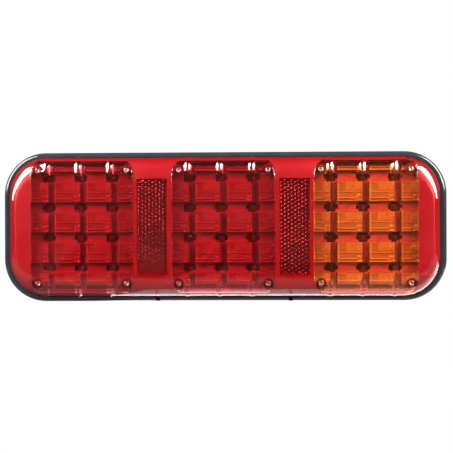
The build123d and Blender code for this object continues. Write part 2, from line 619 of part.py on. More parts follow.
for side, side_x in SIDES.items():
    with BuildPart() as circuit_board:
        with BuildSketch(at_depth(BOARD_BACK)):
            with Locations((side_x, 0)):
                RectangleRounded(BOARD_W, BOARD_H, BOARD_R)
                with GridLocations(2 * SCREW_X, 2 * SCREW_Z, 2, 2):
                    Circle(BOSS_R + BOARD_PLAY, mode=Mode.SUBTRACT)
            if side == "centre":
                with Locations((side_x, CONNECTOR_Z)):
                    with GridLocations(CONTACT_PITCH, 0, 4, 1):
                        Circle(TAIL_R + FIT, mode=Mode.SUBTRACT)
        extrude(amount=BOARD_T)
    finish(circuit_board, f"circuit_board_{side}")

    with BuildPart() as leds:
        with BuildSketch(at_depth(BOARD_FRONT)):
            with Locations((side_x + LED_SHIFT, LED_ROW_SHIFT)):
                with GridLocations(LED_PITCH_X, LED_PITCH_Z, 3, 4):
                    RectangleRounded(LED_SIDE, LED_SIDE, LED_CORNER_R)
        extrude(amount=LED_T)
        with BuildSketch(at_depth(BOARD_FRONT + LED_T)):
            with Locations((side_x + LED_SHIFT, LED_ROW_SHIFT)):
                with GridLocations(LED_PITCH_X, LED_PITCH_Z, 3, 4):
                    Circle(LED_LENS_R)
        extrude(amount=LED_LENS_T)
        fillet(leds.faces().sort_by(Axis.Y)[:12].edges(), LED_LENS_ROUND)
    finish(leds, f"leds_{side}")

    with BuildPart() as reflector_tray:
        # raised pads between the LED rows and columns, cut off under the lens slope
        with BuildSketch(at_depth(TRAY_BASE)):
            with Locations((side_x, 0)):
                RectangleRounded(TRAY_W, TRAY_H, MODULE_R - MODULE_GAP)
        extrude(amount=TRAY_TOP - TRAY_BASE)
        for column in LED_COLUMNS:
            with BuildSketch(at_depth(TRAY_BASE)):
                with Locations((side_x + column, 0)):
                    Rectangle(SLOT_W, TRAY_H - 2 * TRAY_WALL_T)
            extrude(amount=DEPTH, mode=Mode.SUBTRACT)
        for row in LED_ROWS:
            with BuildSketch(at_depth(TRAY_BASE)):
                with Locations((side_x, row)):
                    Rectangle(TRAY_W - 2 * TRAY_WALL_T, SLOT_H)
            extrude(amount=DEPTH, mode=Mode.SUBTRACT)
        add(pad_limit, mode=Mode.INTERSECT)
        with BuildSketch(at_depth(TRAY_BASE)):
            with Locations((side_x, 0)):
                RectangleRounded(TRAY_W, TRAY_H, MODULE_R - MODULE_GAP)
        extrude(amount=TRAY_PLATE_T)
        # a window over each LED
        with BuildSketch(at_depth(TRAY_BASE)):
            with Locations((side_x + LED_SHIFT, LED_ROW_SHIFT)):
                with GridLocations(LED_PITCH_X, LED_PITCH_Z, 3, 4):
                    SlotOverall(LED_SLOT_W, LED_SLOT_H)
        extrude(amount=DEPTH, mode=Mode.SUBTRACT)
        # posts that the lens screws clamp between the lens and the housing's bosses
        with BuildSketch(at_depth(TRAY_BASE)):
            with Locations((side_x, 0)):
                with GridLocations(2 * SCREW_X, 2 * SCREW_Z, 2, 2):
                    Circle(PILLAR_R)
        extrude(amount=PILLAR_BASE - TRAY_BASE)
        with BuildSketch(at_depth(TRAY_BASE)):
            with Locations((side_x, 0)):
                with GridLocations(2 * SCREW_X, 2 * SCREW_Z, 2, 2):
                    Circle(SCREW_HOLE_R)
        extrude(amount=DEPTH, mode=Mode.SUBTRACT)
        # feet that stand on the board
        with BuildSketch(at_depth(BOARD_FRONT)):
            with Locations((side_x, 0)):
                with GridLocations(LED_PITCH_X, 2 * LED_PITCH_Z, 2, 2):
                    Circle(TRAY_FOOT_R)
        extrude(amount=TRAY_BASE - BOARD_FRONT)
    finish(reflector_tray, f"reflector_tray_{side}")

    with BuildPart() as optic_plate:
        add(optic_outside)
        add(optic_inside, mode=Mode.SUBTRACT)
        with BuildSketch(at_depth(OPTIC_BASE)):
            with Locations((side_x, 0)):
                RectangleRounded(OPTIC_W, TRAY_H, MODULE_R - MODULE_GAP)
        extrude(amount=DEPTH, mode=Mode.INTERSECT)
        with BuildSketch(at_depth(OPTIC_BASE)):
            with Locations((side_x, 0)):
                with GridLocations(2 * SCREW_X, 2 * SCREW_Z, 2, 2):
                    Circle(PILLAR_R + MODULE_GAP)
        extrude(amount=DEPTH, mode=Mode.SUBTRACT)
    finish(optic_plate, f"optic_plate_{side}")

    with BuildPart() as module_screws:
        with BuildSketch(at_depth(SCREW_SEAT)):
            with Locations((side_x, 0)):
                with GridLocations(2 * SCREW_X, 2 * SCREW_Z, 2, 2):
                    Circle(SCREW_HEAD_R)
        extrude(amount=SCREW_HEAD_T)
        fillet(module_screws.faces().sort_by(Axis.Y)[:4].edges(), SCREW_HEAD_ROUND)
        with BuildSketch(at_depth(SCREW_TIP)):
            with Locations((side_x, 0)):
                with GridLocations(2 * SCREW_X, 2 * SCREW_Z, 2, 2):
                    Circle(SCREW_R)
        extrude(amount=SCREW_SEAT - SCREW_TIP)
        with BuildSketch(at_depth(SCREW_SEAT + SCREW_HEAD_T - CROSS_DEEP)):
            with Locations((side_x, 0)):
                with GridLocations(2 * SCREW_X, 2 * SCREW_Z, 2, 2):
                    Rectangle(CROSS_L, CROSS_W)
                    Rectangle(CROSS_W, CROSS_L)
        extrude(amount=SCREW_HEAD_T, mode=Mode.SUBTRACT)
    finish(module_screws, f"module_screws_{side}")

    with BuildPart() as driver_chip:
        with BuildSketch(at_depth(BOARD_BACK)):
            with Locations((side_x, CHIP_Z)):
                Rectangle(CHIP_L, CHIP_W)
        extrude(amount=-CHIP_T)
    finish(driver_chip, f"driver_chip_{side}")

    with BuildPart() as capacitors:
        with BuildSketch(at_depth(BOARD_BACK)):
            with Locations((side_x - CAPACITOR_X, CHIP_Z), (side_x + CAPACITOR_X, CHIP_Z)):
                Circle(CAPACITOR_R)
        extrude(amount=-CAPACITOR_T)
    finish(capacitors, f"capacitors_{side}")

    with BuildPart() as resistors:
        with BuildSketch(at_depth(BOARD_BACK)):
            with Locations((side_x, RESISTOR_Z)):
                with GridLocations(RESISTOR_PITCH_X, RESISTOR_PITCH_Z, 4, 2):
                    Rectangle(RESISTOR_L, RESISTOR_W)
        extrude(amount=-RESISTOR_T)
    finish(resistors, f"resistors_{side}")

with BuildPart() as link_cables:
    # flat jumpers lap over the front faces of neighbouring boards
    with BuildSketch(at_depth(BOARD_FRONT)):
        with Locations((-MODULE_PITCH / 2, LINK_Z), (MODULE_PITCH / 2, LINK_Z)):
            Rectangle(MODULE_PITCH - BOARD_W + 2 * LINK_LAP, LINK_W)
    extrude(amount=LINK_T)
finish(link_cables, "link_cables")
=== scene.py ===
"""Looks of the trailer tail light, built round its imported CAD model.

The lamp shines towards -Y. "Depth" below is the distance forward of the back face, so y = -depth.
Lengths are in millimetres until a mesh is made, which is in metres, as the stage and the lights are.
"""

import json
from math import cos, hypot, pi, radians, sin, tau

import bmesh
import bpy
import numpy as np
from mathutils import Matrix, Vector


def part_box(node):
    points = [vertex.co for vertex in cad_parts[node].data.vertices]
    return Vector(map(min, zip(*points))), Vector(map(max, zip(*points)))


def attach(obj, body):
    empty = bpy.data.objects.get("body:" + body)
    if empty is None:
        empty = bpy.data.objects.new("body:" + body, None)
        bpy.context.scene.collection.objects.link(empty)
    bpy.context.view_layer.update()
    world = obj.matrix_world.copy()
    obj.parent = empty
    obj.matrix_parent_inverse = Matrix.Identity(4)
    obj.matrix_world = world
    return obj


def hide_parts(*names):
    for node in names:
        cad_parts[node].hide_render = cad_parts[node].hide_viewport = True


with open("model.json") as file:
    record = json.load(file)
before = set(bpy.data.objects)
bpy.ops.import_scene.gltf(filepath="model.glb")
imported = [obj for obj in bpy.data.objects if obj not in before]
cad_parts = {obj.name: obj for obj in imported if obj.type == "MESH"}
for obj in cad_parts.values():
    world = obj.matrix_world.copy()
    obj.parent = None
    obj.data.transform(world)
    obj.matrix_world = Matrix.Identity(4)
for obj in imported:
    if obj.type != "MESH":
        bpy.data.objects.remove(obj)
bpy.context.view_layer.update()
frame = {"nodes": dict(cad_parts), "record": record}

MM = 0.001
SIDES = ("left", "centre", "right")


# --- Sizes read from the frame, in millimetres ----------
def size_of(node):
    """Width, depth and height of a CAD node."""
    low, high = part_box(node)
    return (high - low) / MM


def centre_of(node):
    """Centre of a CAD node as (x, depth, z)."""
    low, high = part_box(node)
    middle = (low + high) / 2 / MM
    return middle.x, -middle.y, middle.z


LENS_W, _, LENS_H = size_of("red_lens")
DEPTH = -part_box("red_lens")[0].y / MM
LENS_SEAT = -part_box("red_lens")[1].y / MM
BEZEL_BASE = -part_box("inner_bezel")[1].y / MM
MODULE_X = {side: centre_of(f"circuit_board_{side}")[0] for side in SIDES}
TRAY_W, _, TRAY_H = size_of("reflector_tray_centre")
BOARD_FRONT = -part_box("circuit_board_centre")[0].y / MM
REFLECTOR_W, _, REFLECTOR_H = size_of("reflex_reflector_left")
REFLECTOR_X = centre_of("reflex_reflector_right")[0]
REFLECTOR_BACK = -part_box("reflex_reflector_right")[1].y / MM
MODULE_W, _, MODULE_H = size_of("amber_lens")

# --- Sizes that the frame's boxes don't give, as in the CAD source ----------
LENS_R = 23.6
LENS_T = 2.5
SHOULDER_DEPTH = 23.0
PLATEAU_W = 268.8
PLATEAU_H = 64.0
PLATEAU_R = 20.0
MODULE_R = 10.5
SCREW_X = 28.5
SCREW_Z = 36.1
SCREW_SEAT = 27.6
SCREW_TIP = 13.0
RECESS_R = 2.9
PILLAR_R = 3.4
PILLAR_GAP = 0.3
PILLAR_BASE = 25.7
SCREW_HOLE_R = 1.3
WELD_LAP = 0.05
BEZEL_INSET = LENS_T - WELD_LAP
BEZEL_T = 1.2
BEZEL_RING_TOP = 18.4
LINER_H = 82.4
FILL_H = LINER_H - 0.1
OPTIC_INSET = 2.9
OPTIC_T = 2.0
OPTIC_W = MODULE_W - 0.6
MODULE_R_GAP = 0.3
PAD_INSET = 5.9
TRAY_FLOOR = 20.2
TRAY_BACK = 18.8
TRAY_TOP = 24.0
RELIEF = 0.6
LED_PITCH_X = 20.4
LED_PITCH_Z = 19.4
LED_ROW_SHIFT = 2.7
SLOT_W = 3.8
SLOT_H = 5.8
LED_SHIFT = -1.8
LED_SLOT_W = 9.0
LED_SLOT_H = 5.4
NOTCH_X = 42.6

CLEAR_FRONT = DEPTH + 5
LED_COLUMNS = [LED_PITCH_X * (column - 1) for column in range(3)]
LED_ROWS = [LED_ROW_SHIFT + LED_PITCH_Z * (row - 1.5) for row in range(4)]


# --- Materials ----------
class Shader:
    """A node material with one Principled shader, and short calls for the nodes that feed it."""

    def __init__(self, name, **sockets):
        self.material = bpy.data.materials.new(name)
        self.material.use_nodes = True
        self.tree = self.material.node_tree
        self.principled = self.tree.nodes["Principled BSDF"]
        self.output = self.tree.nodes["Material Output"]
        for socket, value in sockets.items():
            self.principled.inputs[socket.replace("_", " ")].default_value = value
        self.place = self.node("ShaderNodeTexCoord").outputs["Object"]

    def node(self, kind, **values):
        made = self.tree.nodes.new(kind)
        for name, value in values.items():
            setattr(made, name, value)
        return made

    def link(self, start, end):
        self.tree.links.new(start, end)

    def stretched(self, scale):
        """Object coordinates scaled by three factors."""
        mapping = self.node("ShaderNodeMapping")
        mapping.inputs["Scale"].default_value = scale
        self.link(self.place, mapping.inputs["Vector"])
        return mapping.outputs["Vector"]

    def noise(self, scale, detail=3.0, vector=None):
        """Cloudy noise from 0 to 1, with so many features to a metre."""
        made = self.node("ShaderNodeTexNoise")
        made.inputs["Scale"].default_value = scale
        made.inputs["Detail"].default_value = detail
        self.link(vector or self.place, made.inputs["Vector"])
        return made.outputs["Fac"]

    def span(self, source, low, high, start=0.0, end=1.0):
        """The source's range low to high, mapped to start to end."""
        made = self.node("ShaderNodeMapRange")
        for name, value in (("From Min", low), ("From Max", high), ("To Min", start), ("To Max", end)):
            made.inputs[name].default_value = value
        self.link(source, made.inputs["Value"])
        return made.outputs["Result"]

    def blend(self, share, first, second):
        """A colour between two, each one an RGB value or another node's output."""
        made = self.node("ShaderNodeMix", data_type="RGBA")
        self.link(share, made.inputs["Factor"])
        for socket, colour in (("A", first), ("B", second)):
            target = [s for s in made.inputs if s.name == socket and s.type == "RGBA"][0]
            if isinstance(colour, tuple):
                target.default_value = (*colour, 1)
            else:
                self.link(colour, target)
        return [s for s in made.outputs if s.type == "RGBA"][0]

    def colour(self, source):
        self.link(source, self.principled.inputs["Base Color"])

    def roughness(self, source):
        self.link(source, self.principled.inputs["Roughness"])

    def bump(self, source, strength, distance):
        """Surface relief of this height in metres."""
        made = self.node("ShaderNodeBump")
        made.inputs["Strength"].default_value = strength
        made.inputs["Distance"].default_value = distance
        self.link(source, made.inputs["Height"])
        if self.principled.inputs["Normal"].is_linked:
            self.link(self.principled.inputs["Normal"].links[0].from_socket, made.inputs["Normal"])
        self.link(made.outputs["Normal"], self.principled.inputs["Normal"])


def moulded(name, colour, worn, rough, grain=2600.0, relief=0.15, height=0.00004, mottle=90.0, specular=0.5):
    """Moulded plastic or rubber: a fine spark-eroded grain, cloudy colour and cloudy gloss."""
    made = Shader(name, Specular_IOR_Level=specular)
    cloud = made.noise(mottle, 4.0)
    made.colour(made.blend(made.span(cloud, 0.35, 0.75), colour, worn))
    made.roughness(made.span(cloud, 0.3, 0.7, rough[0], rough[1]))
    made.bump(made.noise(grain, 2.0), relief, height)
    return made


def metal(name, colour, tarnish, rough, lay=(1.0, 1.0, 1.0), grain=1200.0):
    """Bare or plated metal with a directional grain and a little tarnish."""
    made = Shader(name, Metallic=1.0)
    cloud = made.noise(260.0, 5.0)
    streaks = made.noise(grain, 3.0, made.stretched(lay))
    made.colour(made.blend(made.span(cloud, 0.4, 0.8), colour, tarnish))
    made.roughness(made.span(streaks, 0.3, 0.7, rough[0], rough[1]))
    made.bump(streaks, 0.08, 0.00002)
    return made


def acrylic(name, tint, shade, rough=0.04, ior=1.58):
    """Clear tinted acrylic. Light that reaches what is behind it passes straight, tinted by shade."""
    made = Shader(name, Transmission_Weight=1.0, IOR=ior, Roughness=rough)
    made.principled.inputs["Base Color"].default_value = (*tint, 1)
    path = made.node("ShaderNodeLightPath")
    straight = made.node("ShaderNodeBsdfTransparent")
    straight.inputs["Color"].default_value = (*shade, 1)
    seen = made.principled.outputs["BSDF"]
    for ray in ("Is Diffuse Ray", "Is Shadow Ray"):
        mix = made.node("ShaderNodeMixShader")
        made.link(path.outputs[ray], mix.inputs["Fac"])
        made.link(seen, mix.inputs[1])
        made.link(straight.outputs["BSDF"], mix.inputs[2])
        seen = mix.outputs["Shader"]
    made.link(seen, made.output.inputs["Surface"])
    return made


def tray(name, deep, pad, painted_crest_highlight, post, metallic):
    """The light tray, coloured by depth: its floor, its pads, their ribs and studs, and the screw posts. The
    depth colouring is painted light and shade: raised ribs and studs painted bright as highlights, sunk
    patches painted dark as shade, and the floor's colour lifted to make up for the shade in the deep slots.
    """
    made = Shader(name, Metallic=metallic)
    split = made.node("ShaderNodeSeparateXYZ")
    made.link(made.place, split.inputs["Vector"])

    def past(start, end):
        return made.span(split.outputs["Y"], -start * MM, -end * MM)

    # painted light: the floor's colour is lifted to make up for the shade in the deep slots
    low = past(TRAY_FLOOR, TRAY_FLOOR + 0.8)
    # painted highlight and shade: pad tops run from the dark pad colour in their sunk patches to the bright
    # crest colour on their ribs and studs
    high = past(TRAY_TOP - RELIEF, TRAY_TOP + RELIEF)
    posts = past(TRAY_TOP + 1.5 * RELIEF, TRAY_TOP + 2 * RELIEF)
    cloud = made.noise(420.0, 5.0)
    made.colour(made.blend(posts, made.blend(low, deep, made.blend(high, pad, painted_crest_highlight)), post))
    made.roughness(made.span(cloud, 0.3, 0.7, 0.25, 0.45))
    made.bump(made.noise(900.0, 3.0), 0.3, 0.0001)
    return made


def board(name):
    """Circuit board: dark solder mask over copper tracks."""
    made = Shader(name)
    brick = made.node("ShaderNodeTexBrick")
    turned = made.node("ShaderNodeMapping")
    turned.inputs["Rotation"].default_value = (pi / 2, 0, 0)
    made.link(made.place, turned.inputs["Vector"])
    made.link(turned.outputs["Vector"], brick.inputs["Vector"])
    for socket, value in (("Scale", 260.0), ("Mortar Size", 0.03), ("Brick Width", 1.7), ("Row Height", 0.6)):
        brick.inputs[socket].default_value = value
    tracks = brick.outputs["Fac"]
    made.colour(made.blend(tracks, (0.018, 0.020, 0.019), (0.045, 0.05, 0.046)))
    made.roughness(made.span(made.noise(600.0), 0.3, 0.7, 0.3, 0.5))
    made.bump(tracks, 0.5, 0.00004)
    return made


def flat_cable(name):
    """Flat jumper: pale insulation ribbed over its conductors."""
    made = Shader(name)
    wave = made.node("ShaderNodeTexWave", bands_direction="Z")
    wave.inputs["Scale"].default_value = 125.0
    made.link(made.place, wave.inputs["Vector"])
    made.colour(made.blend(wave.outputs["Fac"], (0.62, 0.60, 0.55), (0.75, 0.74, 0.70)))
    made.roughness(made.span(made.noise(500.0), 0.3, 0.7, 0.4, 0.6))
    made.bump(wave.outputs["Fac"], 0.6, 0.0002)
    return made


def finishes():
    """One finish for each material slot of the record."""
    made = {
        "black_gloss_abs": moulded("black_gloss_abs", (0.012, 0.013, 0.015), (0.016, 0.017, 0.019),
                                   (0.08, 0.14), 1400.0, 0.05, 0.00001, specular=0.4),
        "black_matt_abs": moulded("black_matt_abs", (0.016, 0.016, 0.018), (0.028, 0.028, 0.030),
                                  (0.42, 0.6)),
        "black_nylon": moulded("black_nylon", (0.022, 0.022, 0.024), (0.04, 0.04, 0.042), (0.5, 0.7),
                               1800.0, 0.25),
        "black_rubber": moulded("black_rubber", (0.018, 0.018, 0.018), (0.035, 0.035, 0.034), (0.65, 0.85),
                                1500.0, 0.3),
        "grey_silicone": moulded("grey_silicone", (0.3, 0.3, 0.31), (0.38, 0.38, 0.39), (0.4, 0.6)),
        "zinc_steel": metal("zinc_steel", (0.62, 0.61, 0.57), (0.42, 0.40, 0.34), (0.22, 0.42)),
        "bright_steel": metal("bright_steel", (0.5, 0.48, 0.46), (0.3, 0.28, 0.26), (0.12, 0.24)),
        "contact_brass": metal("contact_brass", (0.78, 0.58, 0.26), (0.5, 0.34, 0.14), (0.18, 0.35)),
        "white_membrane": moulded("white_membrane", (0.8, 0.8, 0.78), (0.6, 0.6, 0.57), (0.7, 0.9),
                                  4000.0, 0.5, 0.0001, 700.0),
        "red_acrylic": acrylic("red_acrylic", (0.93, 0.27, 0.29), (0.95, 0.32, 0.34)),
        "amber_acrylic": acrylic("amber_acrylic", (0.98, 0.56, 0.30), (0.98, 0.62, 0.36)),
        "red_bezel": moulded("red_bezel", (0.138, 0.006, 0.010), (0.145, 0.007, 0.011), (0.3, 0.45),
                             1800.0, 0.05, 0.00002, 30.0),
        "reflex_acrylic": acrylic("reflex_acrylic", (0.75, 0.08, 0.08), (0.8, 0.1, 0.1), 0.0),
        "dark_backing": moulded("dark_backing", (0.18, 0.03, 0.03), (0.24, 0.04, 0.04), (0.5, 0.7)),
        # painted light and shade in the trays: the first colour lifts the slot floors against their shade,
        # the second paints sunk patches dark as shade, the third paints ribs and studs bright as highlights
        "red_tray": tray("red_tray", (0.24, 0.14, 0.14), (0.02, 0.015, 0.015), (0.24, 0.16, 0.16),
                         (0.10, 0.06, 0.06), 0.1),
        # partly painted reflection: the amber floor colour's blue stands in for haze reflected off the lens
        "amber_tray": tray("amber_tray", (0.40, 0.11, 0.26), (0.02, 0.006, 0.01), (0.42, 0.32, 0.18),
                           (0.14, 0.07, 0.06), 0.3),
        "red_optic": acrylic("red_optic", (0.97, 0.84, 0.84), (0.98, 0.88, 0.88), 0.09),
        "amber_optic": acrylic("amber_optic", (0.99, 0.93, 0.90), (0.99, 0.94, 0.92), 0.03),
        "board_laminate": board("board_laminate"),
        "led_package": moulded("led_package", (0.08, 0.012, 0.012), (0.14, 0.02, 0.02), (0.15, 0.3)),
        "chip_epoxy": moulded("chip_epoxy", (0.02, 0.02, 0.021), (0.035, 0.035, 0.036), (0.5, 0.7)),
        "capacitor_can": metal("capacitor_can", (0.7, 0.7, 0.7), (0.5, 0.5, 0.5), (0.2, 0.35)),
        "resistor_ceramic": moulded("resistor_ceramic", (0.12, 0.12, 0.13), (0.2, 0.2, 0.21), (0.3, 0.5)),
        "flat_cable": flat_cable("flat_cable"),
    }
    return {slot: shader.material for slot, shader in made.items()}


FINISH = finishes()
for part in frame["record"]["subparts"]:
    cad_mesh = frame["nodes"][part["node"]].data
    cad_mesh.materials.clear()
    cad_mesh.materials.append(FINISH[part["material_slot"]])


# --- Mesh tools ----------
PIECE_MERGE = 0.002
CUT_MERGE = 0.001


def placed(name, data):
    """A new object in the scene."""
    made = bpy.data.objects.new(name, data)
    bpy.context.scene.collection.objects.link(made)
    return made


def clean(mesh, merge):
    """Joins points closer than merge millimetres and turns the faces outward."""
    work = bmesh.new()
    work.from_mesh(mesh)
    bmesh.ops.remove_doubles(work, verts=work.verts, dist=merge * MM)
    bmesh.ops.recalc_face_normals(work, faces=work.faces)
    work.to_mesh(mesh)
    work.free()


def dressed(name, mesh, slot, body, replaces=(), sharp=35.0):
    """Turns a mesh in metres into a finished piece: outward faces, smooth shading, the finish of its slot,
    and its body.
    """
    clean(mesh, PIECE_MERGE)
    for polygon in mesh.polygons:
        polygon.use_smooth = True
    mesh.set_sharp_from_angle(angle=radians(sharp))
    mesh.materials.clear()
    mesh.materials.append(FINISH[slot])
    made = placed(name, mesh)
    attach(made, body)
    if replaces:
        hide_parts(*replaces)


class Parts:
    """Points and faces gathered from several shapes for one piece."""

    def __init__(self):
        self.points = []
        self.faces = []

    def add(self, points, faces):
        """Adds one shape, whose faces count its own points from 0."""
        start = len(self.points)
        self.points += [tuple(p) for p in points]
        self.faces += [tuple(start + i for i in face) for face in faces]

    def include(self, other):
        """Adds all the shapes of another one of these."""
        self.add(other.points, other.faces)

    def rings(self, rings, capped=True):
        """A skin through rings of equal count, closed round, with or without flat caps at its ends."""
        count = len(rings[0])
        points = [p for ring in rings for p in ring]
        faces = []
        for r in range(len(rings) - 1):
            for i in range(count):
                j = (i + 1) % count
                faces.append((r * count + i, r * count + j, (r + 1) * count + j, (r + 1) * count + i))
        if capped:
            faces.append(tuple(range(count)))
            faces.append(tuple(range((len(rings) - 1) * count, len(rings) * count)))
        self.add(points, faces)

    def turned(self, profile, x, z, steps=32):
        """A lathe shape about the depth axis through (x, z), from (radius, depth) pairs."""
        self.rings([
            [(x + r * cos(tau * i / steps), d, z + r * sin(tau * i / steps)) for i in range(steps)]
            for r, d in profile
        ])

    def mesh(self, name):
        """The gathered shapes as a mesh in metres."""
        made = bpy.data.meshes.new(name)
        made.from_pydata([(x * MM, -d * MM, z * MM) for x, d, z in self.points], [], self.faces)
        return made


def outline(width, height, radius, x=0.0, z=0.0, arc=12, long_steps=1, short_steps=1):
    """(x, z) points round a rounded rectangle, from the right end of its top edge leftwards."""
    half_w, half_h = width / 2 - radius, height / 2 - radius
    points = []
    for start, cx, cz, steps in (
        (0.25, half_w, half_h, long_steps), (0.5, -half_w, half_h, short_steps),
        (0.75, -half_w, -half_h, long_steps), (1.0, half_w, -half_h, short_steps),
    ):
        for i in range(arc + 1):
            turn = tau * (start - 0.25 + 0.25 * i / arc)
            points.append((x + cx + radius * cos(turn), z + cz + radius * sin(turn)))
        last = points[-1]
        run = 2 * half_w if start in (0.25, 0.75) else 2 * half_h
        way_x, way_z = cos(tau * (start + 0.25)), sin(tau * (start + 0.25))
        for step in range(1, steps):
            points.append((last[0] + way_x * run * step / steps, last[1] + way_z * run * step / steps))
    return points


def prism(points, back, front):
    """A straight block of an (x, z) outline between two depths."""
    made = Parts()
    made.rings([[(x, back, z) for x, z in points], [(x, front, z) for x, z in points]])
    return made


def cut(mesh, parts, operation="DIFFERENCE"):
    """The mesh after a Boolean with the gathered shapes, which don't touch each other."""
    tool = parts.mesh("cutter")
    for data in (mesh, tool):
        clean(data, CUT_MERGE)
    worked, cutter = placed("worked", mesh), placed("cutter", tool)
    boolean = worked.modifiers.new("cut", "BOOLEAN")
    boolean.operation = operation
    boolean.solver = "EXACT"
    boolean.object = cutter
    bpy.context.view_layer.update()
    result = bpy.data.meshes.new_from_object(worked.evaluated_get(bpy.context.evaluated_depsgraph_get()))
    for done in (worked, cutter):
        bpy.data.objects.remove(done)
    return result


# --- The dome that the lens, bezel and optics follow ----------
SHOULDER_SHARE = 0.2
PLATEAU_R_SHARE = 0.5
SEARCH_STEPS = 30
TOUCH = 0.01
FLUTE_W = 5.2
FLUTE_HEIGHT = 0.85
FLUTE_SHIFT = -2.4
FLUTE_RUNOUT = 1.6
FLUTES = [side_x + column + FLUTE_SHIFT for side_x in MODULE_X.values() for column in LED_COLUMNS]
DOME_COUNTS = {"arc": 14, "long_steps": 360, "short_steps": 30}
DOME_STEPS = 16


def rise(turn, inset):
    """Depth of the dome inset by so much, at a turn or an array of turns."""
    shoulder = SHOULDER_DEPTH - SHOULDER_SHARE * inset
    return shoulder + (DEPTH - inset - shoulder) * np.sin(turn)


def dome_section(turn, inset):
    """Width, height and corner radius of the dome at a turn from 0 (shoulder) to a quarter (plateau)."""
    share = 1 - np.cos(turn)
    wide, tall, radius = LENS_W - 2 * inset, LENS_H - 2 * inset, LENS_R - inset
    flat_w, flat_h, flat_r = PLATEAU_W - inset, PLATEAU_H - inset, PLATEAU_R - PLATEAU_R_SHARE * inset
    return wide + (flat_w - wide) * share, tall + (flat_h - tall) * share, radius + (flat_r - radius) * share


def dome_depth(x, z, inset):
    """Depth of the dome's surface over each point of two arrays."""
    low, high = np.zeros_like(x), np.full_like(x, pi / 2)
    for _ in range(SEARCH_STEPS):
        turn = (low + high) / 2
        wide, tall, radius = dome_section(turn, inset)
        dx, dz = np.abs(x) - (wide / 2 - radius), np.abs(z) - (tall / 2 - radius)
        reach = np.hypot(np.maximum(dx, 0), np.maximum(dz, 0)) + np.minimum(np.maximum(dx, dz), 0) - radius
        low, high = np.where(reach < 0, turn, low), np.where(reach < 0, high, turn)
    return rise(low, inset)


def flute(x):
    """Height of the upright ribs on the lens's slopes."""
    return sum(
        FLUTE_HEIGHT * cos(pi * (x - at) / FLUTE_W) ** 2 for at in FLUTES if abs(x - at) < FLUTE_W / 2
    )


def skirt_ring(inset, depth):
    """The dome's full outline at one depth."""
    return [(x, depth, z) for x, z in outline(*dome_section(0.0, inset), **DOME_COUNTS)]


def dome_rings(inset, base, steps, ribbed=False):
    """Rings of points from the dome's base up its skirt and slope to the plateau's edge."""
    rings = [skirt_ring(inset, base)]
    for step in range(steps + 1):
        turn = 0.5 * pi * step / steps
        wide, tall, radius = dome_section(turn, inset)
        depth = rise(turn, inset)
        ring = []
        for x, z in outline(wide, tall, radius, **DOME_COUNTS):
            rib = 0.0
            if ribbed and abs(z) > tall / 2 - TOUCH:
                rib = flute(x) * min(1.0, FLUTE_RUNOUT * sin(2 * turn))
            ring.append((x, depth + rib * sin(turn), z + rib * cos(turn) * (1 if z > 0 else -1)))
        rings.append(ring)
    return rings


def shell(name, inset, thickness, base, ribbed=False, foot=()):
    """A closed shell under the dome, open behind. Its foot, from depth to depth, is as wide as the lens."""
    outside = [skirt_ring(0.0, depth) for depth in foot]
    outside += dome_rings(inset, foot[-1] if foot else base, DOME_STEPS, ribbed)
    inside = dome_rings(inset + thickness, base, DOME_STEPS // 2)
    made = Parts()
    made.rings(inside[::-1] + outside)
    return made.mesh(name)


def screw_places(side_x):
    """(x, z) of a module's four screws."""
    return [(side_x + sx * SCREW_X, sz * SCREW_Z) for sx in (-1, 1) for sz in (-1, 1)]


# --- Lens, bezel and retroreflectors ----------
BEAD_INSET = 1.0
BEAD_TOP = 41.0
BEAD_R = 0.2
BEAD_LEVEL_SHARE = 0.3
BEAD_SIDES = 8
BEAD_COUNTS = {"arc": 16, "long_steps": 40, "short_steps": 40}
BEAD_MIN_STEP = 0.05
RIB_FOOT_Z = -42.9
RIB_TIP_Z = -39.9
RIB_FOOT_SHIFT = 0.9
RIB_TIP_SHIFT = -0.3
RIB_W = 0.8
RIB_BACK = 26.5
RIB_FRONT = 29.3
CREASE_X = 129.5
CREASE_L = 8.4
CREASE_W = 0.4
CREASE_BACK = 29.8
CREASE_PROUD = 0.18
BOSS_TOP = 30.5
WINDOW_BACK = SHOULDER_DEPTH - 0.4
WINDOW_GAP = 0.03
REFLECTOR_GAP = 0.1
REFLECTOR_R = 0.3


def cylinders(places, radius, back, front):
    """Round blocks of one size at several (x, z) places."""
    made = Parts()
    for x, z in places:
        made.turned([(radius, back), (radius, front)], x, z)
    return made


def with_pillars(mesh, places):
    """The lens mesh with screw pillars behind and open recesses in front."""
    mesh = cut(mesh, cylinders(places, PILLAR_R, PILLAR_BASE, BOSS_TOP), "UNION")
    mesh = cut(mesh, cylinders(places, RECESS_R, SCREW_SEAT, CLEAR_FRONT))
    return cut(mesh, cylinders(places, SCREW_HOLE_R, PILLAR_BASE - 1, DEPTH))


def level_with(points, half_height):
    """An (x, z) outline cut off level above and below."""
    return [(x, min(max(z, -half_height), half_height)) for x, z in points]


